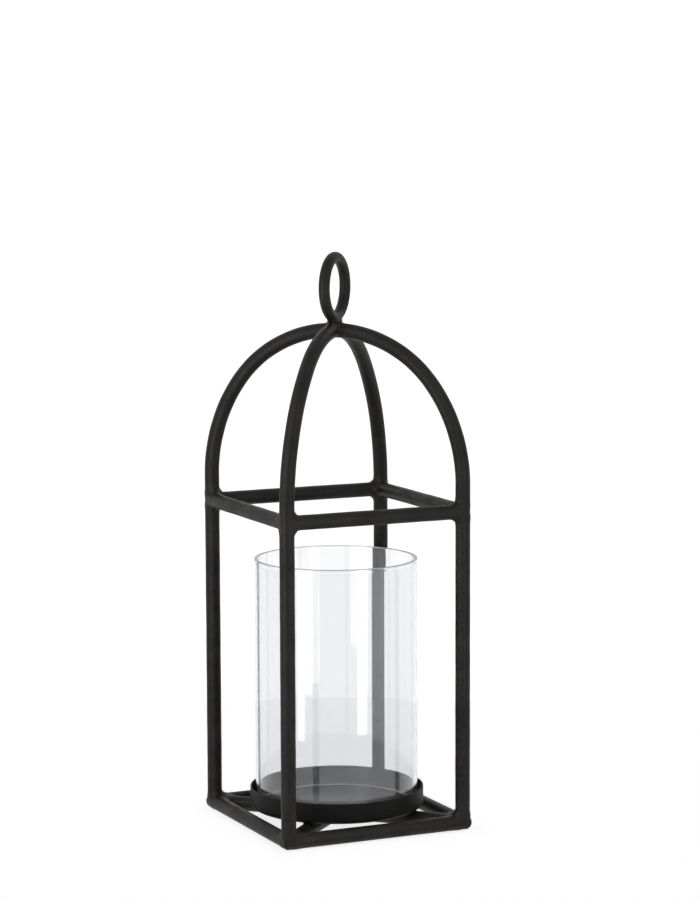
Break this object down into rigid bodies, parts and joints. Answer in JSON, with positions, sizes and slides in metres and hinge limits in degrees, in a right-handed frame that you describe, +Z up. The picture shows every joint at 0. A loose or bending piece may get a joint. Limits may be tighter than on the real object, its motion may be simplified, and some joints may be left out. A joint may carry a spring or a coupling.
{
  "type": "candle lantern",
  "caption": "Tall open candle lantern: a square cage of round black bar with a domed top and a hanging ring, holding a clear glass cylinder in a shallow round dish.",
  "frame": {"origin": "on the floor, under the middle of the square cage", "axes": "+Z up along the lantern's axis, -Y the front; each side of the square faces X or Y, and the hanging ring lies in the upright plane through the front left and back right posts"},
  "size_m": [0.137, 0.137, 0.3853],
  "materials": {
    "frame_paint": "matt black powder coat on round steel bar",
    "dish_paint": "matt black powder coat on pressed steel sheet",
    "clear_glass": "clear drawn glass tube with flame-polished edges"
  },
  "bodies": {
    "frame": {"base_rail_front": "frame_paint", "base_rail_right": "frame_paint", "base_rail_back": "frame_paint", "base_rail_left": "frame_paint", "upper_rail_front": "frame_paint", "upper_rail_right": "frame_paint", "upper_rail_back": "frame_paint", "upper_rail_left": "frame_paint", "hoop_through": "frame_paint", "hoop_half_front_right": "frame_paint", "hoop_half_back_left": "frame_paint", "cross_rod_through": "frame_paint", "cross_rod_front_right": "frame_paint", "cross_rod_back_left": "frame_paint", "hanging_ring": "frame_paint", "candle_dish": "dish_paint", "upper_rail_welds": "frame_paint", "base_corner_welds": "frame_paint", "cross_rod_welds": "frame_paint", "crown_welds": "frame_paint", "ring_weld": "frame_paint", "dish_tack_welds": "frame_paint"},
    "glass": {"glass_cylinder": "clear_glass"}
  },
  "joints": [
    {"name": "glass_lift", "type": "slide", "parent": "frame", "child": "glass", "axis": [0, 0, 1], "range_m": [0, 0.12]}
  ]
}
